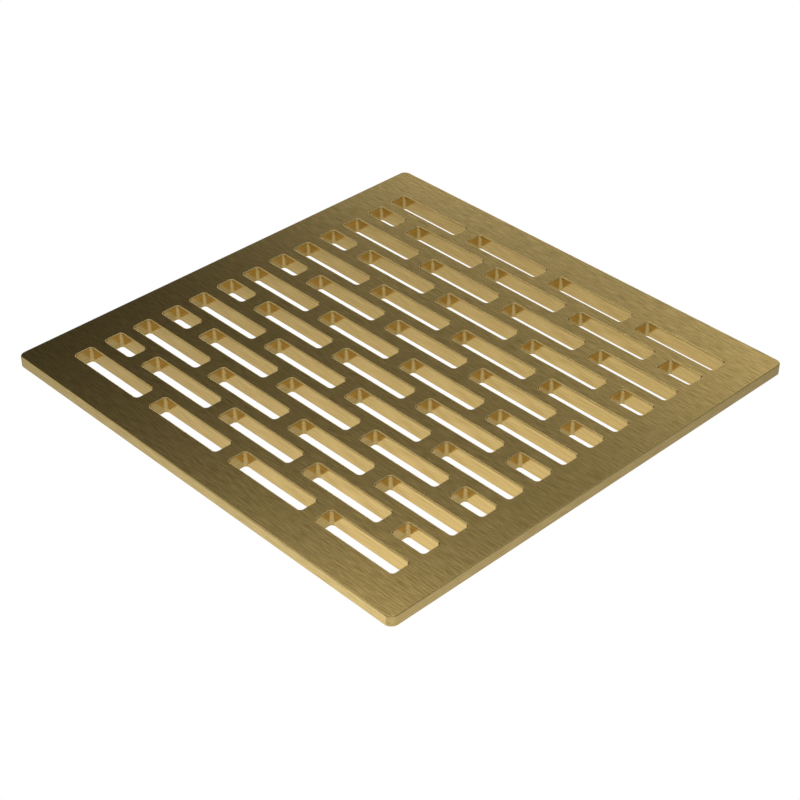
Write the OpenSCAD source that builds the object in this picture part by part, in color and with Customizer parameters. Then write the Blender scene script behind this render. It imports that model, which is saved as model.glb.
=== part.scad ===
// Square drop-in floor drain grate: one thick slotted plate with a running-bond
// slot pattern. Its underside is stepped, so that the thin rim lies on the drain
// frame's ledge and the thicker panel drops into the frame's throat. Magnets in
// the panel's corners hold it down and soft strips under the rim stop it rattling.
//
// Frame: Z = 0 is the panel's underside, the top face is at Z = plate_t, and the
// plate is centred on X = Y = 0. The slots run along X and their rows stack along Y.

/* [Plate] */
// Outer width along the slots
plate_x = 150; // [110:1:220]
// Outer width across the slots
plate_y = 150; // [110:1:220]
// Full thickness through the slotted panel
plate_t = 4.8; // [4:0.1:8]
// Radius of the four outer corners, seen from above
corner_r = 2.3; // [1.5:0.1:3.8]
// Width of the small bevel on every top edge
edge_break = 0.3; // [0.2:0.05:0.5]

/* [Rim] */
// Thickness of the rim that lies on the frame's ledge
rim_t = 3.2; // [2:0.1:3.4]
// Width of the stepped seat under the rim
seat_w = 4; // [3.2:0.1:5]
// Radius of the panel's corners below the rim
panel_corner_r = 2; // [1:0.1:3]

/* [Slots] */
// Number of rows of slots
rows = 13; // [7:2:13]
// Number of full slots in an unshifted row
slots_per_row = 4; // [2:1:5]
// Solid border between the plate's edge and the slot field
border_w = 11.25; // [9.2:0.05:16]
// Width of a slot, wall to wall
slot_w = 5.9; // [4:0.1:7.2]
// Metal left between the ends of two slots
slot_gap = 5.2; // [3:0.1:7]
// Radius of a slot's corners, seen from above
slot_r = 1.05; // [0.5:0.05:1.8]
// How far the shifted rows sit behind the even pitch
stagger_shift = 0.25; // [0:0.05:0.6]

/* [Hold-down magnets] */
// Diameter of a disc magnet
magnet_d = 5; // [3:0.5:6]
// Thickness of a disc magnet
magnet_t = 2; // [1:0.5:2.5]
// Glue gap all round a magnet
magnet_gap = 0.05; // [0.02:0.01:0.1]
// How far a magnet's face lies inside the panel's underside
magnet_recess = 0.1; // [0:0.05:0.3]

/* [Anti-rattle strips] */
// Length of a soft strip
strip_l = 24; // [10:1:60]
// Width of a soft strip
strip_w = 2.4; // [1.5:0.1:2.6]
// Thickness of a soft strip
strip_t = 0.8; // [0.4:0.1:1.2]
// Distance from a soft strip to the panel's wall
strip_gap = 0.6; // [0.2:0.1:1]

/* [Hidden] */
// Overshoot of a cutting tool past the face that it leaves
cut = 1;
// Fineness of every true round
$fn = 48;

// Size of the thick panel that drops into the frame's throat
panel_x = plate_x - 2 * seat_w;
panel_y = plate_y - 2 * seat_w;
// Height of the rim's seat above the panel's underside
seat_z = plate_t - rim_t;

// Size of the slot field
field_x = plate_x - 2 * border_w;
field_y = plate_y - 2 * border_w;
// A full slot's length and the pitch from slot to slot
slot_l = (field_x - (slots_per_row - 1) * slot_gap) / slots_per_row;
slot_pitch = slot_l + slot_gap;
// A shifted row's end slots are cut short by the field's edge
short_l = (slot_l - slot_gap) / 2;
row_pitch = (field_y - slot_w) / (rows - 1);

// Magnets sit in the middle of the solid band between slots and seat
band_mid = (border_w + seat_w) / 2;
magnet_x = plate_x / 2 - band_mid;
magnet_y = plate_y / 2 - band_mid;
pocket_d = magnet_d + 2 * magnet_gap;
pocket_depth = magnet_t + magnet_recess;

// Distance from the panel's wall to a strip's centre line
strip_off = strip_gap + strip_w / 2;

function is_shifted(row) = row % 2 == 1;
function row_y(row) = (row - (rows - 1) / 2) * row_pitch + (is_shifted(row) ? stagger_shift : 0);
// Centre and length of every slot in a row
function full_slots(count) =
    [for (k = [0 : count - 1]) [(k - (count - 1) / 2) * slot_pitch, slot_l]];
function short_slots() =
    [for (side = [-1, 1]) [side * (field_x - short_l) / 2, short_l]];
function row_slots(row) = is_shifted(row)
    ? concat(full_slots(slots_per_row - 1), short_slots())
    : full_slots(slots_per_row);

// Places children at a rectangle's four corner centres
module at_corners(x, y, r) {
    for (sx = [-1, 1], sy = [-1, 1])
        translate([sx * (x / 2 - r), sy * (y / 2 - r), 0]) children();
}

// Upright block with rounded corners, as true planes and cylinders
module rounded_block(x, y, h, r) {
    translate([-x / 2 + r, -y / 2, 0]) cube([x - 2 * r, y, h]);
    translate([-x / 2, -y / 2 + r, 0]) cube([x, y - 2 * r, h]);
    at_corners(x, y, r) cylinder(h = h, r = r);
}

// Rounded block whose sides slope at 45 degrees over its height h.
// grow is 1 where it widens upwards and -1 where it narrows.
module bevelled_block(x, y, h, r, grow) {
    slope = grow * h;
    rotate([90, 0, 0])
        linear_extrude(height = y - 2 * r, center = true)
            bevel_profile(x, h, slope);
    rotate([90, 0, 90])
        linear_extrude(height = x - 2 * r, center = true)
            bevel_profile(y, h, slope);
    at_corners(x, y, r) cylinder(h = h, r1 = r, r2 = r + slope);
}

module bevel_profile(width, h, slope) {
    polygon([
        [-width / 2, 0], [width / 2, 0],
        [width / 2 + slope, h], [-width / 2 - slope, h]
    ]);
}

// One slot: straight walls, then a bevel that opens past the top face
module slot_cutter(length) {
    translate([0, 0, -cut]) rounded_block(length, slot_w, plate_t + 2 * cut, slot_r);
    translate([0, 0, plate_t - edge_break])
        bevelled_block(length, slot_w, edge_break + cut / 10, slot_r, 1);
}

module slot_field() {
    for (row = [0 : rows - 1], slot = row_slots(row))
        translate([slot[0], row_y(row), 0]) slot_cutter(slot[1]);
}

module plate_blank() {
    rounded_block(panel_x, panel_y, plate_t - edge_break, panel_corner_r);
    translate([0, 0, seat_z]) rounded_block(plate_x, plate_y, rim_t - edge_break, corner_r);
    translate([0, 0, plate_t - edge_break])
        bevelled_block(plate_x, plate_y, edge_break, corner_r, -1);
}

module grate_plate() {
    color([0.72, 0.58, 0.33])
        difference() {
            plate_blank();
            slot_field();
            for (sx = [-1, 1], sy = [-1, 1])
                translate([sx * magnet_x, sy * magnet_y, -cut])
                    cylinder(h = pocket_depth + cut, d = pocket_d);
        }
}

// Disc magnet bedded on its pocket's floor; side_x and side_y are -1 or 1
module magnet(side_x, side_y) {
    color([0.78, 0.78, 0.76])
        translate([side_x * magnet_x, side_y * magnet_y, magnet_recess])
            cylinder(h = magnet_t, d = magnet_d);
}

// Soft strip under the rim, at the middle of the side that angle turns to.
// panel_half is the distance from the centre to the panel's wall on that side.
module rim_strip(angle, panel_half) {
    color([0.13, 0.13, 0.13])
        rotate([0, 0, angle])
            translate([panel_half + strip_off - strip_w / 2, -strip_l / 2, seat_z - strip_t])
                cube([strip_w, strip_l, strip_t]);
}

grate_plate();
magnet(-1, -1);  // magnet_front_left
magnet(1, -1);  // magnet_front_right
magnet(-1, 1);  // magnet_back_left
magnet(1, 1);  // magnet_back_right
rim_strip(0, panel_x / 2);  // rim_strip_right
rim_strip(90, panel_y / 2);  // rim_strip_back
rim_strip(180, panel_x / 2);  // rim_strip_left
rim_strip(270, panel_y / 2);  // rim_strip_front
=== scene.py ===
"""Looks of a square drop-in floor drain grate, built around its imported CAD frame.

The grate is one thick brass plate with rows of staggered slots. Its stepped underside
carries four disc magnets in blind pockets and four ribbed rubber strips under the rim.
Everything is in metres in the CAD frame: slots run along X, rows stack along Y, +Z is up.
"""

import logging
import math
from dataclasses import dataclass, field
from enum import Enum

import bpy
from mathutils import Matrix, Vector
from mathutils.geometry import delaunay_2d_cdt


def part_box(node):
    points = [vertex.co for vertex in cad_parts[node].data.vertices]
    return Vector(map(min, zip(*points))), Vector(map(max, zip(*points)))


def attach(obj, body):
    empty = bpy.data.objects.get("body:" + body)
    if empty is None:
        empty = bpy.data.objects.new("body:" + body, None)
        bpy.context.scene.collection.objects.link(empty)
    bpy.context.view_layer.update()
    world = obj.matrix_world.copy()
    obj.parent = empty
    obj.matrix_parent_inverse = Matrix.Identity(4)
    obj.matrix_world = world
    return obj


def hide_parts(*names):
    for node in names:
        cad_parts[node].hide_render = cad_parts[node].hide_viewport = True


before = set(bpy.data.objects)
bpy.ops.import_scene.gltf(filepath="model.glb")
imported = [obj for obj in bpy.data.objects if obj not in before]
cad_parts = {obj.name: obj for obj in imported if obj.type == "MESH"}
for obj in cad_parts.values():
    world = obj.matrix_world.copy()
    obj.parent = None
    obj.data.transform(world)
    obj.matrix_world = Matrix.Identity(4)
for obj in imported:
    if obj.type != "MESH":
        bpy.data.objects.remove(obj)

LOG = logging.getLogger("drain_grate")
MM = 0.001
QUARTER_TURN = 0.25

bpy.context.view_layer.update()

Corner = tuple[float, float, float]


# ---------------------------------------------------------------------------
# Outlines and edge profiles
# ---------------------------------------------------------------------------


@dataclass(frozen=True)
class OutlinePoint:
    """A point of an outline seen from above, with the direction that leaves the outline."""

    x: float
    y: float
    out_x: float
    out_y: float

    def moved(self, grow: float) -> tuple[float, float]:
        """The point pushed outwards by grow."""
        return self.x + self.out_x * grow, self.y + self.out_y * grow


@dataclass(frozen=True)
class RoundedRect:
    """A rectangle with round corners, seen from above."""

    centre_x: float
    centre_y: float
    size_x: float
    size_y: float
    radius: float
    arc_steps: int = 8
    run_step: float = 3.0 * MM

    def points(self) -> list[OutlinePoint]:
        """Walks the outline anticlockwise.

        Returns:
            Evenly spaced points on the straight runs and on the four corner arcs.
        """
        reach_x = self.size_x / 2 - self.radius
        reach_y = self.size_y / 2 - self.radius
        corners = [(reach_x, reach_y), (-reach_x, reach_y), (-reach_x, -reach_y), (reach_x, -reach_y)]
        walk: list[OutlinePoint] = []
        for quarter, (corner_x, corner_y) in enumerate(corners):
            for step in range(self.arc_steps + 1):
                turn = math.pi / 2 * (quarter + step / self.arc_steps)
                out_x, out_y = math.cos(turn), math.sin(turn)
                walk.append(OutlinePoint(
                    self.centre_x + corner_x + self.radius * out_x,
                    self.centre_y + corner_y + self.radius * out_y,
                    out_x, out_y,
                ))
            walk.extend(self._run(walk[-1], corners[(quarter + 1) % 4]))
        return walk

    def _run(self, start: OutlinePoint, corner: tuple[float, float]) -> list[OutlinePoint]:
        """Points inside the straight run that leads from start to the next corner.

        Args:
            start: The last point of the arc before the run.
            corner: The next arc's centre, from the rectangle's centre.

        Returns:
            The run's inner points, which all face the way that start does.
        """
        end_x = self.centre_x + corner[0] + self.radius * start.out_x
        end_y = self.centre_y + corner[1] + self.radius * start.out_y
        length = math.hypot(end_x - start.x, end_y - start.y)
        count = max(1, round(length / self.run_step))
        return [
            OutlinePoint(
                start.x + (end_x - start.x) * k / count,
                start.y + (end_y - start.y) * k / count,
                start.out_x, start.out_y,
            )
            for k in range(1, count)
        ]


@dataclass(frozen=True)
class Disc:
    """A circle, seen from above."""

    centre_x: float
    centre_y: float
    radius: float
    steps: int = 64

    def points(self) -> list[OutlinePoint]:
        """Walks the circle anticlockwise in even steps."""
        turns = [2 * math.pi * k / self.steps for k in range(self.steps)]
        return [
            OutlinePoint(
                self.centre_x + self.radius * math.cos(turn),
                self.centre_y + self.radius * math.sin(turn),
                math.cos(turn), math.sin(turn),
            )
            for turn in turns
        ]


class Side(Enum):
    """Which side of an outline is metal."""

    METAL_INSIDE = 1
    METAL_OUTSIDE = -1


@dataclass(frozen=True)
class Station:
    """One level of an edge profile.

    The inset is how far the level lies into the metal from the wall, and the tilt turns
    the surface from facing up (0) through level (a quarter turn) to facing down.
    """

    inset: float
    z: float
    tilt: float


def wall_profile(
    top_z: float, top_break: float, bottom_z: float, bottom_break: float, steps: int = 4
) -> list[Station]:
    """Stations of an upright wall with a rounded break at its top and its bottom.

    Args:
        top_z: Height of the face that the wall starts from.
        top_break: Radius of the upper rounding, or 0 for a sharp inner corner.
        bottom_z: Height of the face that the wall ends at.
        bottom_break: Radius of the lower rounding, or 0 for a sharp inner corner.
        steps: Facets in each rounding.

    Returns:
        The stations from top to bottom.
    """
    quarter = math.pi / 2
    upper = [
        Station(
            top_break * (1 - math.sin(quarter * k / steps)),
            top_z - top_break * (1 - math.cos(quarter * k / steps)),
            quarter * k / steps,
        )
        for k in range(steps + 1)
    ]
    lower = [
        Station(
            bottom_break * (1 - math.cos(quarter * k / steps)),
            bottom_z + bottom_break * (1 - math.sin(quarter * k / steps)),
            quarter * (1 + k / steps),
        )
        for k in range(steps + 1)
    ]
    if not top_break:
        upper = [Station(0.0, top_z, quarter)]
    if not bottom_break:
        lower = [Station(0.0, bottom_z, quarter)]
    return upper + lower


# ---------------------------------------------------------------------------
# Mesh building
# ---------------------------------------------------------------------------


@dataclass
class Skin:
    """Gathers faces with exact corner normals and makes one closed mesh of them."""

    points: list[Corner] = field(default_factory=list)
    faces: list[list[int]] = field(default_factory=list)
    normals: list[Corner] = field(default_factory=list)
    grain: list[tuple[float, float]] = field(default_factory=list)
    finishes: list[int] = field(default_factory=list)

    def ring(self, outline: list[OutlinePoint], side: Side, station: Station) -> list[int]:
        """Adds one level of an outline.

        Args:
            outline: The wall's outline.
            side: Which side of it is metal.
            station: The level to add.

        Returns:
            The new points' numbers, in the outline's order.
        """
        first = len(self.points)
        for point in outline:
            x, y = point.moved(-side.value * station.inset)
            self.points.append((x, y, station.z))
        return list(range(first, len(self.points)))

    def face(self, corners: list[int], normals: list[Corner], finish: int) -> None:
        """Adds one face, whose grain runs along X on level faces and level on upright ones.

        Args:
            corners: Point numbers, anticlockwise from outside.
            normals: The true surface's normal at each corner.
            finish: Material slot number.
        """
        self.faces.append(corners)
        self.normals.extend(normals)
        self.finishes.append(finish)
        mean = sum((Vector(n) for n in normals), Vector())
        level = abs(mean.z) > math.hypot(mean.x, mean.y)
        for corner in corners:
            x, y, z = self.points[corner]
            if level:
                self.grain.append((x, y))
            else:
                across_x = abs(mean.x) > abs(mean.y)
                self.grain.append((y if across_x else x, z))

    def wall(
        self, outline: list[OutlinePoint], side: Side, stations: list[Station],
        wall_finish: int, edge_finish: int,
    ) -> tuple[list[int], list[int]]:
        """Sweeps an edge profile round an outline.

        Args:
            outline: The wall's outline.
            side: Which side of it is metal.
            stations: The profile, from top to bottom.
            wall_finish: Material slot of the upright part.
            edge_finish: Material slot of the rounded breaks.

        Returns:
            The top ring and the bottom ring.
        """
        rings = [self.ring(outline, side, station) for station in stations]
        count = len(outline)
        for level in range(len(stations) - 1):
            upper, lower = stations[level], stations[level + 1]
            upright = upper.tilt == lower.tilt
            for k in range(count):
                nxt = (k + 1) % count
                corners = [
                    (rings[level][k], outline[k], upper), (rings[level + 1][k], outline[k], lower),
                    (rings[level + 1][nxt], outline[nxt], lower), (rings[level][nxt], outline[nxt], upper),
                ]
                if side is Side.METAL_OUTSIDE:
                    corners.reverse()
                normals = [self._normal(point, station, side) for _, point, station in corners]
                self.face([c for c, _, _ in corners], normals, wall_finish if upright else edge_finish)
        return rings[0], rings[-1]

    @staticmethod
    def _normal(point: OutlinePoint, station: Station, side: Side) -> Corner:
        """The surface normal of a swept profile."""
        flat = math.sin(station.tilt) * side.value
        return point.out_x * flat, point.out_y * flat, math.cos(station.tilt)

    def sheet(
        self, outer: list[int], holes: list[list[int]], faces_up: bool, finish: int,
        inner_points: list[tuple[float, float]] = (),
    ) -> None:
        """Fills the level area between an outer ring and the rings of its holes.

        Args:
            outer: The outer ring's point numbers.
            holes: The holes' rings.
            faces_up: True for a face seen from above.
            finish: Material slot number.
            inner_points: Extra points inside the area, which keep its triangles stout.
        """
        rings = [outer, *holes]
        numbers = [number for ring in rings for number in ring]
        level = self.points[outer[0]][2]
        for x, y in inner_points:
            numbers.append(len(self.points))
            self.points.append((x, y, level))
        place = {number: k for k, number in enumerate(numbers)}
        flat = [Vector(self.points[number][:2]) for number in numbers]
        loops = [[place[number] for number in ring] for ring in rings]
        result = delaunay_2d_cdt(flat, [], loops, 1, 1e-9)
        triangles, came_from, owners = result[2], result[3], result[5]
        normal = (0.0, 0.0, 1.0 if faces_up else -1.0)
        for triangle, owner in zip(triangles, owners):
            if list(owner) != [0]:
                continue
            corners = [numbers[came_from[k][0]] for k in triangle]
            a, b, c = (Vector(self.points[k]) for k in corners)
            if ((b - a).cross(c - a).z > 0) != faces_up:
                corners.reverse()
            self.face(corners, [normal] * 3, finish)

    def build(self, name: str, materials: list[bpy.types.Material]) -> bpy.types.Object:
        """Makes the object.

        Args:
            name: The object's name.
            materials: Its materials, in slot order.

        Returns:
            The new object, linked to the scene and riding on the root body.
        """
        mesh = bpy.data.meshes.new(name)
        mesh.from_pydata(self.points, [], self.faces)
        grain = mesh.uv_layers.new(name="grain")
        for loop, (along, across) in enumerate(self.grain):
            grain.data[loop].uv = (along, across)
        for material in materials:
            mesh.materials.append(material)
        mesh.polygons.foreach_set("material_index", self.finishes)
        mesh.polygons.foreach_set("use_smooth", [True] * len(self.faces))
        mesh.normals_split_custom_set(self.normals)
        mesh.update()
        piece = bpy.data.objects.new(name, mesh)
        bpy.context.scene.collection.objects.link(piece)
        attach(piece, "root")
        return piece


# ---------------------------------------------------------------------------
# Shared shader groups
# ---------------------------------------------------------------------------

Tree = bpy.types.NodeTree
Socket = bpy.types.NodeSocket


def new_group(name: str, inputs: list[tuple[str, str, float]], outputs: list[tuple[str, str]]) -> Tree:
    """Starts a shader group with named sockets.

    Args:
        name: The group's name.
        inputs: Name, socket type and default of each input.
        outputs: Name and socket type of each output.

    Returns:
        The group, with its input node named IN and its output node named OUT.
    """
    group = bpy.data.node_groups.new(name, "ShaderNodeTree")
    for label, kind, default in inputs:
        socket = group.interface.new_socket(label, in_out="INPUT", socket_type=kind)
        if kind == "NodeSocketFloat":
            socket.default_value = default
    for label, kind in outputs:
        group.interface.new_socket(label, in_out="OUTPUT", socket_type=kind)
    group.nodes.new("NodeGroupInput").name = "IN"
    group.nodes.new("NodeGroupOutput").name = "OUT"
    return group


def math_node(tree: Tree, operation: str, *values: Socket | float) -> Socket:
    """Adds a Math node.

    Args:
        tree: The tree to add it to.
        operation: Blender's name of the operation.
        values: Its inputs, each a socket to link or a number to set.

    Returns:
        The node's output.
    """
    node = tree.nodes.new("ShaderNodeMath")
    node.operation = operation
    for socket, value in zip(node.inputs, values):
        if isinstance(value, (int, float)):
            socket.default_value = value
        else:
            tree.links.new(value, socket)
    return node.outputs[0]


def vector_of(tree: Tree, x: Socket | float, y: Socket | float, z: Socket | float) -> Socket:
    """Joins three values, each a socket or a number, into a vector."""
    node = tree.nodes.new("ShaderNodeCombineXYZ")
    for socket, value in zip(node.inputs, (x, y, z)):
        if isinstance(value, (int, float)):
            socket.default_value = value
        else:
            tree.links.new(value, socket)
    return node.outputs[0]


def noise(tree: Tree, vector: Socket, scale: float, detail: float, roughness: float) -> Socket:
    """Adds a noise texture and returns its value."""
    node = tree.nodes.new("ShaderNodeTexNoise")
    node.inputs["Scale"].default_value = scale
    node.inputs["Detail"].default_value = detail
    node.inputs["Roughness"].default_value = roughness
    tree.links.new(vector, node.inputs["Vector"])
    return node.outputs[0]


def remap(tree: Tree, value: Socket, low: float, high: float, to_low: float, to_high: float) -> Socket:
    """Maps value's stretch from low to high onto to_low to to_high, with soft ends."""
    node = tree.nodes.new("ShaderNodeMapRange")
    node.interpolation_type = "SMOOTHSTEP"
    for socket, number in zip(node.inputs[1:5], (low, high, to_low, to_high)):
        socket.default_value = number
    tree.links.new(value, node.inputs[0])
    return node.outputs[0]


def hairline_group() -> Tree:
    """Builds the straight brushed grain.

    Returns:
        A group whose Tone and Height are about 0.5 on average: Tone holds the lines that
        the eye sees, and Height the grooves.
    """
    group = new_group(
        "hairline grain",
        [
            ("Along", "NodeSocketFloat", 0.0), ("Across", "NodeSocketFloat", 0.0),
            ("Line Length", "NodeSocketFloat", 6 * MM), ("Line Width", "NodeSocketFloat", 0.2 * MM),
        ],
        [("Tone", "NodeSocketFloat"), ("Height", "NodeSocketFloat"), ("Drift", "NodeSocketFloat")],
    )
    sockets = group.nodes["IN"].outputs
    along = math_node(group, "DIVIDE", sockets["Along"], sockets["Line Length"])
    across = math_node(group, "DIVIDE", sockets["Across"], sockets["Line Width"])
    fine = noise(group, vector_of(group, along, across, 3.0), 1.0, 3.0, 0.62)
    wide_along = math_node(group, "MULTIPLY", along, 0.23)
    wide_across = math_node(group, "MULTIPLY", across, 0.21)
    wide = noise(group, vector_of(group, wide_along, wide_across, 11.0), 1.0, 2.0, 0.5)
    drift = noise(group, vector_of(group, math_node(group, "MULTIPLY", along, 0.12),
                                   math_node(group, "MULTIPLY", across, 0.012), 23.0), 1.0, 1.0, 0.5)
    tone = math_node(group, "ADD", math_node(group, "MULTIPLY", fine, 0.92),
                     math_node(group, "MULTIPLY", wide, 0.08))
    groove_across = math_node(group, "MULTIPLY", across, 0.7)
    height = noise(group, vector_of(group, along, groove_across, 17.0), 1.0, 0.0, 0.5)
    out = group.nodes["OUT"].inputs
    group.links.new(tone, out["Tone"])
    group.links.new(height, out["Height"])
    group.links.new(drift, out["Drift"])
    return group


def handling_group() -> Tree:
    """Builds the faint marks of handling.

    Returns:
        A group whose Smudge is a cloudy mask of skin marks and whose Fleck is a mask of
        small bright nicks, both from 0 to 1.
    """
    group = new_group(
        "handling marks",
        [("Position", "NodeSocketVector", 0.0), ("Smudge Size", "NodeSocketFloat", 30 * MM)],
        [("Smudge", "NodeSocketFloat"), ("Fleck", "NodeSocketFloat")],
    )
    sockets = group.nodes["IN"].outputs
    scaled = group.nodes.new("ShaderNodeVectorMath")
    scaled.operation = "SCALE"
    group.links.new(sockets["Position"], scaled.inputs[0])
    group.links.new(math_node(group, "DIVIDE", 1.0, sockets["Smudge Size"]), scaled.inputs["Scale"])
    cloud = noise(group, scaled.outputs[0], 1.0, 3.0, 0.55)
    speck = noise(group, scaled.outputs[0], 46.0, 1.0, 0.5)
    out = group.nodes["OUT"].inputs
    group.links.new(remap(group, cloud, 0.38, 0.68, 0.0, 1.0), out["Smudge"])
    group.links.new(remap(group, speck, 0.74, 0.82, 0.0, 1.0), out["Fleck"])
    return group


@dataclass(frozen=True)
class SharedGroups:
    """The shader groups that more than one finish uses."""

    hairline: Tree
    handling: Tree

    @classmethod
    def built(cls) -> "SharedGroups":
        """Builds every shared group once."""
        return cls(hairline_group(), handling_group())


# ---------------------------------------------------------------------------
# Finishes
# ---------------------------------------------------------------------------

Colour = tuple[float, float, float]


def with_alpha(colour: Colour) -> tuple[float, float, float, float]:
    """The colour with full opacity."""
    return (*colour, 1.0)


class MaterialBench:
    """A new material with its shader, and short ways to add nodes to it."""

    def __init__(self, name: str) -> None:
        """Starts a material.

        Args:
            name: The material's name.
        """
        self.material = bpy.data.materials.new(name)
        self.material.use_nodes = True
        self.tree = self.material.node_tree
        self.shader = self.tree.nodes["Principled BSDF"]

    def link(self, source: Socket, socket: str) -> None:
        """Links source to a socket of the shader."""
        self.tree.links.new(source, self.shader.inputs[socket])

    def group(self, group: Tree, **values: Socket | float) -> bpy.types.Node:
        """Places a shared group.

        Args:
            group: The shared group.
            values: Its inputs, with an underscore for each space in a name.

        Returns:
            The group's node.
        """
        node = self.tree.nodes.new("ShaderNodeGroup")
        node.node_tree = group
        for key, value in values.items():
            socket = node.inputs[key.replace("_", " ")]
            if isinstance(value, (int, float)):
                socket.default_value = value
            else:
                self.tree.links.new(value, socket)
        return node

    def blend(self, factor: Socket, low: Colour, high: Colour) -> Socket:
        """Mixes two colours by factor."""
        node = self.tree.nodes.new("ShaderNodeMix")
        node.data_type = "RGBA"
        node.inputs[6].default_value = with_alpha(low)
        node.inputs[7].default_value = with_alpha(high)
        self.tree.links.new(factor, node.inputs[0])
        return node.outputs[2]

    def bump(self, height: Socket, depth: float) -> None:
        """Feeds the shader's normal from a height of 0 to 1 that is depth metres deep."""
        node = self.tree.nodes.new("ShaderNodeBump")
        node.inputs["Strength"].default_value = 1.0
        node.inputs["Distance"].default_value = depth
        self.tree.links.new(height, node.inputs["Height"])
        self.link(node.outputs[0], "Normal")

    def position(self) -> Socket:
        """Object coordinates, in metres."""
        return self.tree.nodes.new("ShaderNodeTexCoord").outputs["Object"]

    def grain_axes(self) -> tuple[Socket, Socket]:
        """The positions along and across the grain, in metres, from the piece's own map."""
        source = self.tree.nodes.new("ShaderNodeUVMap")
        source.uv_map = "grain"
        split = self.tree.nodes.new("ShaderNodeSeparateXYZ")
        self.tree.links.new(source.outputs[0], split.inputs[0])
        return split.outputs[0], split.outputs[1]

    def grain_tangent(self) -> None:
        """Stretches the shader's highlights across the grain, as straight brushing does."""
        node = self.tree.nodes.new("ShaderNodeTangent")
        node.direction_type = "UV_MAP"
        node.uv_map = "grain"
        self.link(node.outputs[0], "Tangent")
        self.shader.inputs["Anisotropic Rotation"].default_value = QUARTER_TURN


@dataclass(frozen=True)
class BrushedBrass:
    """Brass worked in one direction."""

    name: str
    low: Colour
    high: Colour
    roughness: float
    roughness_swing: float
    line_length: float
    line_width: float
    groove: float
    stretch: float

    def build(self, groups: SharedGroups) -> bpy.types.Material:
        """Makes the material.

        Args:
            groups: The shared shader groups.

        Returns:
            The finished material.
        """
        bench = MaterialBench(self.name)
        along, across = bench.grain_axes()
        grain = bench.group(
            groups.hairline, Along=along, Across=across,
            Line_Length=self.line_length, Line_Width=self.line_width,
        )
        marks = bench.group(groups.handling, Position=bench.position())
        tree = bench.tree
        tone = remap(tree, grain.outputs["Tone"], 0.38, 0.62, 0.0, 1.0)
        colour = bench.blend(tone, self.low, self.high)
        bench.link(colour, "Base Color")
        swing = math_node(tree, "MULTIPLY_ADD", math_node(tree, "SUBTRACT", 0.5, tone),
                          self.roughness_swing, self.roughness)
        drift = math_node(tree, "MULTIPLY_ADD", grain.outputs["Drift"], self.roughness_swing, swing)
        smudge = math_node(tree, "MULTIPLY_ADD", marks.outputs["Smudge"], self.roughness_swing * 0.4, drift)
        bench.link(smudge, "Roughness")
        bench.shader.inputs["Metallic"].default_value = 1.0
        bench.shader.inputs["Anisotropic"].default_value = self.stretch
        bench.grain_tangent()
        bench.bump(grain.outputs["Height"], self.groove)
        return bench.material


@dataclass(frozen=True)
class NickelPlate:
    """Bright nickel plating with faint handling marks."""

    name: str = "nickel plated magnet"
    clean: Colour = (0.72, 0.70, 0.66)
    dull: Colour = (0.55, 0.53, 0.49)
    roughness: float = 0.16

    def build(self, groups: SharedGroups) -> bpy.types.Material:
        """Makes the material from the shared groups."""
        bench = MaterialBench(self.name)
        marks = bench.group(groups.handling, Position=bench.position(), Smudge_Size=3 * MM)
        bench.link(bench.blend(marks.outputs["Smudge"], self.clean, self.dull), "Base Color")
        bench.link(math_node(bench.tree, "MULTIPLY_ADD", marks.outputs["Smudge"], 0.18, self.roughness),
                   "Roughness")
        bench.shader.inputs["Metallic"].default_value = 1.0
        bench.bump(marks.outputs["Fleck"], 0.01 * MM)
        return bench.material


@dataclass(frozen=True)
class StripRubber:
    """Matt black silicone with a moulded grain and a little dust."""

    name: str = "strip rubber"
    base: Colour = (0.012, 0.012, 0.013)
    dusty: Colour = (0.045, 0.043, 0.040)
    roughness: float = 0.55

    def build(self, groups: SharedGroups) -> bpy.types.Material:
        """Makes the material from the shared groups."""
        bench = MaterialBench(self.name)
        position = bench.position()
        marks = bench.group(groups.handling, Position=position, Smudge_Size=5 * MM)
        bench.link(bench.blend(marks.outputs["Smudge"], self.base, self.dusty), "Base Color")
        bench.link(math_node(bench.tree, "MULTIPLY_ADD", marks.outputs["Smudge"], 0.2, self.roughness),
                   "Roughness")
        bench.bump(noise(bench.tree, position, 9000.0, 2.0, 0.6), 0.02 * MM)
        return bench.material


class Cut(Enum):
    """The ways that the plate's faces are worked, in material slot order."""

    TOP = 0
    RIM = 1
    SLOT = 2
    BREAK = 3
    UNDERSIDE = 4


PLATE_FINISHES = {
    Cut.TOP: BrushedBrass(
        "brushed brass top", low=(0.46, 0.345, 0.125), high=(0.72, 0.55, 0.225),
        roughness=0.12, roughness_swing=0.01, line_length=5 * MM, line_width=0.32 * MM,
        groove=0.004 * MM, stretch=0.5,
    ),
    Cut.RIM: BrushedBrass(
        "linished brass rim", low=(0.56, 0.43, 0.18), high=(0.72, 0.57, 0.26),
        roughness=0.20, roughness_swing=0.03, line_length=6 * MM, line_width=0.24 * MM,
        groove=0.003 * MM, stretch=0.5,
    ),
    Cut.SLOT: BrushedBrass(
        "cut brass slot wall", low=(0.58, 0.42, 0.155), high=(0.74, 0.56, 0.24),
        roughness=0.17, roughness_swing=0.02, line_length=9 * MM, line_width=0.28 * MM,
        groove=0.003 * MM, stretch=0.5,
    ),
    Cut.BREAK: BrushedBrass(
        "rubbed brass edge", low=(0.62, 0.47, 0.19), high=(0.74, 0.58, 0.26),
        roughness=0.24, roughness_swing=0.08, line_length=4 * MM, line_width=0.12 * MM,
        groove=0.002 * MM, stretch=0.3,
    ),
    Cut.UNDERSIDE: BrushedBrass(
        "ground brass underside", low=(0.42, 0.31, 0.12), high=(0.58, 0.44, 0.19),
        roughness=0.36, roughness_swing=0.16, line_length=9 * MM, line_width=0.35 * MM,
        groove=0.02 * MM, stretch=0.4,
    ),
}


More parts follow.
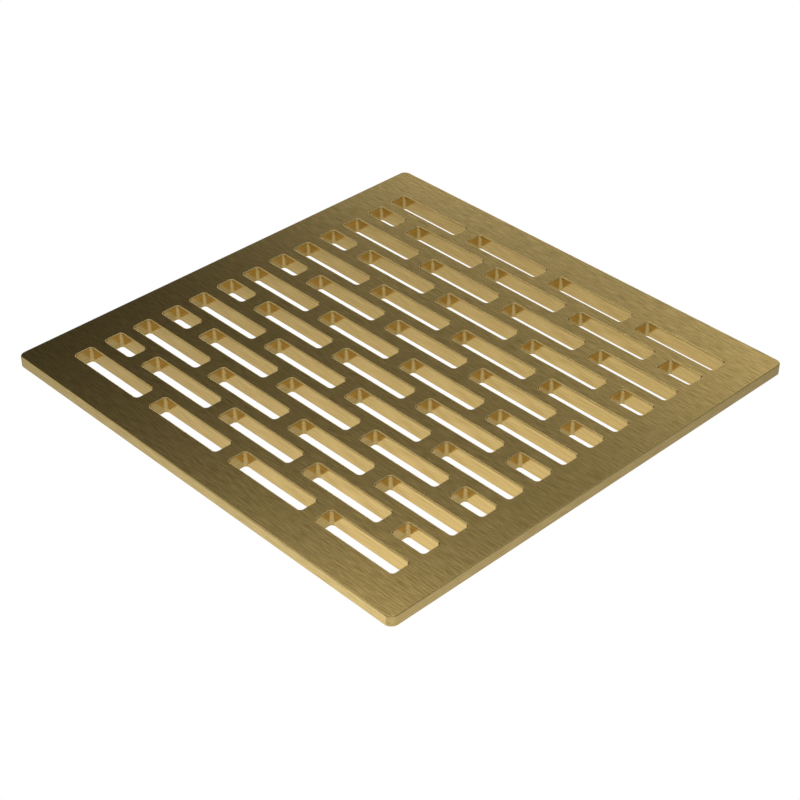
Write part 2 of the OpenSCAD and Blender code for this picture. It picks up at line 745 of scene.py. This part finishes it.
# ---------------------------------------------------------------------------
# The object's pieces
# ---------------------------------------------------------------------------


@dataclass(frozen=True)
class Slot:
    """One slot's centre and length."""

    centre_x: float
    centre_y: float
    length: float


@dataclass
class GratePlate:
    """The slotted brass plate. Its outer size comes from the frame."""

    corner_radius: float = 2.3 * MM
    panel_corner_radius: float = 2.0 * MM
    edge_break: float = 0.32 * MM
    lower_break: float = 0.1 * MM
    rim_thickness: float = 3.2 * MM
    seat_width: float = 4.0 * MM
    rows: int = 13
    slots_per_row: int = 4
    border: float = 11.25 * MM
    slot_width: float = 5.9 * MM
    slot_gap: float = 5.2 * MM
    slot_radius: float = 1.05 * MM
    stagger_shift: float = 0.25 * MM
    pocket_clearance: float = 0.05 * MM
    infill_step: float = 3.6 * MM

    def __post_init__(self) -> None:
        """Reads the plate's outer size from the frame."""
        low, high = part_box("grate_plate")
        self.low = Vector(low)
        self.high = Vector(high)
        self.size_x = self.high.x - self.low.x
        self.size_y = self.high.y - self.low.y
        self.seat_z = self.high.z - self.rim_thickness

    def slots(self) -> list[Slot]:
        """Lays out the running-bond pattern, with short slots at both ends of shifted rows."""
        field_x = self.size_x - 2 * self.border
        field_y = self.size_y - 2 * self.border
        length = (field_x - (self.slots_per_row - 1) * self.slot_gap) / self.slots_per_row
        pitch = length + self.slot_gap
        short = (length - self.slot_gap) / 2
        row_pitch = (field_y - self.slot_width) / (self.rows - 1)
        layout: list[Slot] = []
        for row in range(self.rows):
            shifted = row % 2 == 1
            y = (row - (self.rows - 1) / 2) * row_pitch
            y += self.stagger_shift if shifted else 0.0
            count = self.slots_per_row - 1 if shifted else self.slots_per_row
            layout += [Slot((k - (count - 1) / 2) * pitch, y, length) for k in range(count)]
            if shifted:
                layout += [Slot(side * (field_x - short) / 2, y, short) for side in (-1, 1)]
        return layout

    def _infill(self) -> list[tuple[float, float]]:
        """Points along the middle of the solid border, where no ring's points come near."""
        band: list[tuple[float, float]] = []
        for share in (0.34, 0.67):
            inset = self.border * share
            loop = RoundedRect(
                0.0, 0.0, self.size_x - 2 * inset, self.size_y - 2 * inset,
                self.corner_radius, arc_steps=1, run_step=self.infill_step,
            )
            band += [(point.x, point.y) for point in loop.points()]
        return band

    def build(self, groups: SharedGroups) -> bpy.types.Object:
        """Builds the plate with its slots, step, pockets and rounded edges.

        Args:
            groups: The shared shader groups.

        Returns:
            The plate.
        """
        skin = Skin()
        top, bottom = self.high.z, self.low.z
        rim = RoundedRect(0.0, 0.0, self.size_x, self.size_y, self.corner_radius)
        panel = RoundedRect(
            0.0, 0.0, self.size_x - 2 * self.seat_width, self.size_y - 2 * self.seat_width,
            self.panel_corner_radius,
        )
        edge = Cut.BREAK.value
        rim_top, rim_foot = skin.wall(
            rim.points(), Side.METAL_INSIDE,
            wall_profile(top, self.edge_break, self.seat_z, self.lower_break),
            Cut.RIM.value, edge,
        )
        panel_top, panel_foot = skin.wall(
            panel.points(), Side.METAL_INSIDE,
            wall_profile(self.seat_z, 0.0, bottom, self.lower_break),
            Cut.UNDERSIDE.value, edge,
        )
        mouths: list[list[int]] = []
        feet: list[list[int]] = []
        for slot in self.slots():
            outline = RoundedRect(
                slot.centre_x, slot.centre_y, slot.length, self.slot_width, self.slot_radius
            )
            mouth, foot = skin.wall(
                outline.points(), Side.METAL_OUTSIDE,
                wall_profile(top, self.edge_break, bottom, self.lower_break),
                Cut.SLOT.value, edge,
            )
            mouths.append(mouth)
            feet.append(foot)
        for magnet in MAGNETS:
            pocket_roof, pocket_mouth = self._pocket(skin, magnet)
            feet.append(pocket_mouth)
            skin.sheet(pocket_roof, [], False, Cut.UNDERSIDE.value)
        skin.sheet(rim_top, mouths, True, Cut.TOP.value, self._infill())
        skin.sheet(rim_foot, [panel_top], False, Cut.UNDERSIDE.value)
        skin.sheet(panel_foot, feet, False, Cut.UNDERSIDE.value)
        materials = [PLATE_FINISHES[cut].build(groups) for cut in Cut]
        plate = skin.build("brass_grate_plate", materials)
        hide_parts("grate_plate")
        return plate

    def _pocket(self, skin: Skin, magnet: str) -> tuple[list[int], list[int]]:
        """Sinks a blind pocket round a magnet.

        Args:
            skin: The plate's skin.
            magnet: The magnet's node.

        Returns:
            The pocket's roof ring and its mouth ring.
        """
        low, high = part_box(magnet)
        bore = Disc(
            (low[0] + high[0]) / 2, (low[1] + high[1]) / 2,
            (high[0] - low[0]) / 2 + self.pocket_clearance,
        )
        return skin.wall(
            bore.points(), Side.METAL_OUTSIDE,
            wall_profile(high[2], 0.0, self.low.z, self.lower_break / 2),
            Cut.UNDERSIDE.value, Cut.BREAK.value,
        )


MAGNETS = [f"magnet_{end}_{side}" for end in ("front", "back") for side in ("left", "right")]
STRIPS = [f"rim_strip_{side}" for side in ("left", "right", "front", "back")]


@dataclass
class HoldDownMagnet:
    """A nickel-plated disc magnet with rounded rims."""

    node: str
    rim_radius: float = 0.2 * MM

    def build(self, material: bpy.types.Material) -> bpy.types.Object:
        """Builds the magnet inside its CAD box.

        Args:
            material: The plating.

        Returns:
            The magnet.
        """
        low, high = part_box(self.node)
        disc = Disc((low[0] + high[0]) / 2, (low[1] + high[1]) / 2, (high[0] - low[0]) / 2)
        skin = Skin()
        upper, lower = skin.wall(
            disc.points(), Side.METAL_INSIDE,
            wall_profile(high[2], self.rim_radius, low[2], self.rim_radius), 0, 0,
        )
        skin.sheet(upper, [], True, 0)
        skin.sheet(lower, [], False, 0)
        piece = skin.build(self.node.replace("magnet", "disc_magnet"), [material])
        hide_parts(self.node)
        return piece


@dataclass
class RimStrip:
    """A soft strip stuck under the rim, with ribs along its lower face."""

    node: str
    ribs: int = 3
    rib_depth: float = 0.16 * MM
    steps_per_rib: int = 8
    corner_radius: float = 0.25 * MM

    def build(self, material: bpy.types.Material) -> bpy.types.Object:
        """Sweeps the ribbed section along the strip.

        Args:
            material: The rubber.

        Returns:
            The strip.
        """
        low, high = (Vector(corner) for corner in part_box(self.node))
        size = high - low
        centre = (low + high) / 2
        along_x = size.x > size.y
        width, length = (size.y, size.x) if along_x else (size.x, size.y)
        section = self._section(width, size.z)
        points: list[Corner] = []
        stops = self._stops(length)
        for stop, narrow in stops:
            for across, up in section:
                across *= 1 - 2 * narrow / width
                x, y = (stop, -across) if along_x else (across, stop)
                points.append((centre.x + x, centre.y + y, low.z + up))
        count = len(section)
        faces: list[list[int]] = [
            [row * count + k, (row + 1) * count + k,
             (row + 1) * count + (k + 1) % count, row * count + (k + 1) % count]
            for row in range(len(stops) - 1) for k in range(count)
        ]
        faces.append(list(range(count)))
        faces.append([(len(stops) - 1) * count + k for k in reversed(range(count))])
        mesh = bpy.data.meshes.new(self.node)
        mesh.from_pydata(points, [], faces)
        mesh.materials.append(material)
        mesh.polygons.foreach_set("use_smooth", [True] * len(faces))
        mesh.set_sharp_from_angle(angle=math.radians(35))
        mesh.update()
        piece = bpy.data.objects.new(self.node.replace("rim_strip", "ribbed_strip"), mesh)
        bpy.context.scene.collection.objects.link(piece)
        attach(piece, "root")
        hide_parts(self.node)
        return piece

    def _stops(self, length: float, steps: int = 5) -> list[tuple[float, float]]:
        """Places along the strip where its section is put, closer together at its ends.

        Args:
            length: The strip's length.
            steps: Facets in each rounded corner.

        Returns:
            Each place from the middle, and how much narrower each side is there.
        """
        turns = [math.pi / 2 * k / steps for k in range(steps + 1)]
        end = [
            (length / 2 - self.corner_radius * (1 - math.sin(turn)),
             self.corner_radius * (1 - math.cos(turn)))
            for turn in turns
        ]
        run = length / 2 - self.corner_radius
        middle = [(run * k / 6, 0.0) for k in range(-5, 6)]
        return [(-place, narrow) for place, narrow in reversed(end)] + middle + end

    def _section(self, width: float, height: float) -> list[tuple[float, float]]:
        """The strip's outline seen from its end: flat on top, wavy below.

        Args:
            width: The strip's width.
            height: The strip's thickness.

        Returns:
            Points from the lower left corner, round by the right.
        """
        count = self.ribs * self.steps_per_rib
        wave = [
            (
                -width / 2 + width * k / count,
                self.rib_depth * (0.5 + 0.5 * math.cos(2 * math.pi * self.ribs * k / count)),
            )
            for k in range(count + 1)
        ]
        return wave + [(width / 2, height), (-width / 2, height)]


# ---------------------------------------------------------------------------
# The studio
# ---------------------------------------------------------------------------


@dataclass(frozen=True)
class SoftLight:
    """A broad soft light on the studio's dome.

    Its spread is the angle, from its middle, at which it is half as bright.
    """

    name: str
    azimuth: float
    elevation: float
    spread: float
    colour: Colour
    strength: float

    def direction(self) -> Vector:
        """The unit vector towards the light, from angles anticlockwise from +X."""
        turn, rise = math.radians(self.azimuth), math.radians(self.elevation)
        return Vector((math.cos(turn) * math.cos(rise), math.sin(turn) * math.cos(rise), math.sin(rise)))

    def sharpness(self) -> float:
        """How fast the light falls off around its middle, from its spread."""
        return math.log(2.0) / (1.0 - math.cos(math.radians(self.spread)))


WARM_WHITE: Colour = (1.0, 0.95, 0.85)


@dataclass
class Studio:
    """The floor and the light."""

    floor_size: float = 6.0
    floor_gap: float = 0.3 * MM
    floor_level: float = 1.0
    lights: tuple[SoftLight, ...] = (
        SoftLight("overhead panel", 142.0, 54.0, 8.0, WARM_WHITE, 2.2),
        SoftLight("right panel", 116.0, 30.0, 8.0, WARM_WHITE, 1.1),
        SoftLight("back panel", 132.0, 18.0, 7.0, WARM_WHITE, 2.8),
        SoftLight("left fill", 225.0, 20.0, 20.0, WARM_WHITE, 1.0),
        SoftLight("left bounce", 228.0, -46.0, 12.0, WARM_WHITE, 0.6),
        SoftLight("table bounce", 0.0, -90.0, 35.0, WARM_WHITE, 2.2),
        SoftLight("ceiling", 0.0, 90.0, 25.0, WARM_WHITE, 0.6),
        SoftLight("front light", 316.0, 20.0, 40.0, WARM_WHITE, 0.6),
        SoftLight("right fill", 45.0, 15.0, 20.0, WARM_WHITE, 0.5),
    )

    def build_floor(self) -> None:
        """Lays a pale floor that only the camera sees, and only from above."""
        half = self.floor_size / 2
        mesh = bpy.data.meshes.new("studio_floor")
        corners = [(-half, -half), (half, -half), (half, half), (-half, half)]
        mesh.from_pydata([(x, y, -self.floor_gap) for x, y in corners], [], [[0, 1, 2, 3]])
        floor = bpy.data.objects.new("studio_floor", mesh)
        bpy.context.scene.collection.objects.link(floor)
        material = bpy.data.materials.new("pale floor")
        material.use_nodes = True
        tree = material.node_tree
        tree.nodes.clear()
        glow = tree.nodes.new("ShaderNodeEmission")
        glow.inputs["Color"].default_value = (1.0, 1.0, 1.0, 1.0)
        glow.inputs["Strength"].default_value = self.floor_level
        clear = tree.nodes.new("ShaderNodeBsdfTransparent")
        side = tree.nodes.new("ShaderNodeNewGeometry")
        mix = tree.nodes.new("ShaderNodeMixShader")
        out = tree.nodes.new("ShaderNodeOutputMaterial")
        tree.links.new(side.outputs["Backfacing"], mix.inputs[0])
        tree.links.new(glow.outputs[0], mix.inputs[1])
        tree.links.new(clear.outputs[0], mix.inputs[2])
        tree.links.new(mix.outputs[0], out.inputs["Surface"])
        mesh.materials.append(material)
        for kind in ("diffuse", "glossy", "transmission", "volume_scatter", "shadow"):
            setattr(floor, f"visible_{kind}", False)

    def build_dome(self) -> None:
        """Lights the scene with a dome of broad soft lights."""
        world = bpy.data.worlds.new("studio")
        bpy.context.scene.world = world
        world.use_nodes = True
        tree = world.node_tree
        tree.nodes.clear()
        ray = tree.nodes.new("ShaderNodeTexCoord").outputs["Generated"]
        total: Socket | None = None
        for light in self.lights:
            total = self._with_light(tree, ray, total, light)
        shown = tree.nodes.new("ShaderNodeMix")
        shown.data_type = "RGBA"
        tree.links.new(tree.nodes.new("ShaderNodeLightPath").outputs["Is Camera Ray"], shown.inputs[0])
        tree.links.new(total, shown.inputs[6])
        shown.inputs[7].default_value = (1.0, 1.0, 1.0, 1.0)
        background = tree.nodes.new("ShaderNodeBackground")
        tree.links.new(shown.outputs[2], background.inputs["Color"])
        out = tree.nodes.new("ShaderNodeOutputWorld")
        tree.links.new(background.outputs[0], out.inputs["Surface"])

    @staticmethod
    def _with_light(tree: Tree, ray: Socket, total: Socket | None, light: SoftLight) -> Socket:
        """Adds one soft light to the dome.

        Args:
            tree: The dome's tree.
            ray: The direction looked at.
            total: The dome's light so far, or None for a dark dome.
            light: The light to add.

        Returns:
            The dome's light with this one in it.
        """
        dot = tree.nodes.new("ShaderNodeVectorMath")
        dot.operation = "DOT_PRODUCT"
        tree.links.new(ray, dot.inputs[0])
        dot.inputs[1].default_value = light.direction()
        lobe = math_node(tree, "EXPONENT", math_node(
            tree, "MULTIPLY", math_node(tree, "SUBTRACT", dot.outputs["Value"], 1.0), light.sharpness()))
        scaled = tree.nodes.new("ShaderNodeVectorMath")
        scaled.operation = "MULTIPLY_ADD"
        scaled.label = light.name
        scaled.inputs[0].default_value = Vector(light.colour) * light.strength
        tree.links.new(lobe, scaled.inputs[1])
        scaled.inputs[2].default_value = (0.0, 0.0, 0.0)
        if total is not None:
            tree.links.new(total, scaled.inputs[2])
        return scaled.outputs[0]


@dataclass(frozen=True)
class StudioCamera:
    """A camera aimed at the middle of the plate's top face."""

    azimuth: float = 46.03
    elevation: float = 34.79
    distance: float = 536.0 * MM
    lens: float = 87.09
    sensor: float = 36.0
    shift_x: float = 0.0009
    shift_y: float = -0.0518

    def build(self) -> bpy.types.Object:
        """Places the camera and makes it the scene's own."""
        low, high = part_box("grate_plate")
        target = Vector(((low[0] + high[0]) / 2, (low[1] + high[1]) / 2, high[2]))
        turn, rise = math.radians(self.azimuth), math.radians(self.elevation)
        back = Vector((math.sin(turn) * math.cos(rise), -math.cos(turn) * math.cos(rise), math.sin(rise)))
        data = bpy.data.cameras.new("studio_camera")
        data.lens = self.lens
        data.sensor_width = self.sensor
        data.shift_x = self.shift_x
        data.shift_y = self.shift_y
        camera = bpy.data.objects.new("studio_camera", data)
        camera.location = target + back * self.distance
        camera.rotation_euler = back.to_track_quat("Z", "Y").to_euler()
        bpy.context.scene.collection.objects.link(camera)
        bpy.context.scene.camera = camera
        return camera


def main() -> None:
    """Builds the studio and every piece in order."""
    logging.basicConfig(level=logging.INFO, format="%(message)s")
    bpy.context.scene.view_settings.view_transform = "Standard"
    StudioCamera().build()
    studio = Studio()
    studio.build_floor()
    studio.build_dome()
    groups = SharedGroups.built()
    plate = GratePlate().build(groups)
    LOG.info("%s: %d faces", plate.name, len(plate.data.polygons))
    nickel = NickelPlate().build(groups)
    for node in MAGNETS:
        LOG.info("%s built", HoldDownMagnet(node).build(nickel).name)
    rubber = StripRubber().build(groups)
    for node in STRIPS:
        LOG.info("%s built", RimStrip(node).build(rubber).name)


if __name__ == "__main__":
    main()
